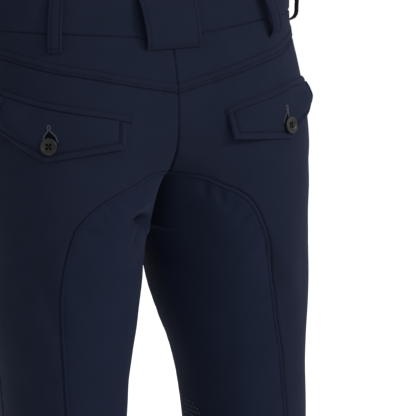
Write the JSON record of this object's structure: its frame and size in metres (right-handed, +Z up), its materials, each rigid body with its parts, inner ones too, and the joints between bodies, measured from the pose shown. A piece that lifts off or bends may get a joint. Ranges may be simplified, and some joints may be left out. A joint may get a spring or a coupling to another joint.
{
  "type": "riding breeches",
  "caption": "Full-seat stretch riding breeches with belt loops, a wide centre-back loop, a back yoke and buttoned back pocket flaps, worn shape, hollow inside.",
  "frame": {"origin": "centre of the waistband, where the wearer's waist holds the garment up", "axes": "+Z up towards the waist, -Y is the front of the garment and +Y its back, +X is the wearer's left"},
  "size_m": [0.3456, 0.2393, 0.908],
  "materials": {
    "navy_cloth": "matt",
    "dark_plastic": "satin"
  },
  "bodies": {
    "root": {"waistband": "navy_cloth", "yoke_left": "navy_cloth", "yoke_right": "navy_cloth", "back_left": "navy_cloth", "back_right": "navy_cloth", "seat_left": "navy_cloth", "seat_right": "navy_cloth", "front_left": "navy_cloth", "front_right": "navy_cloth", "fly_shield": "navy_cloth", "loop_center_back": "navy_cloth", "loop_back_left": "navy_cloth", "loop_back_right": "navy_cloth", "loop_side_left": "navy_cloth", "loop_side_right": "navy_cloth", "loop_front_left": "navy_cloth", "loop_front_right": "navy_cloth", "pocket_welt_left": "navy_cloth", "pocket_welt_right": "navy_cloth", "pocket_flap_left": "navy_cloth", "pocket_flap_right": "navy_cloth", "button_flap_left": "dark_plastic", "button_flap_right": "dark_plastic", "waist_button": "dark_plastic"}
  },
  "joints": []
}
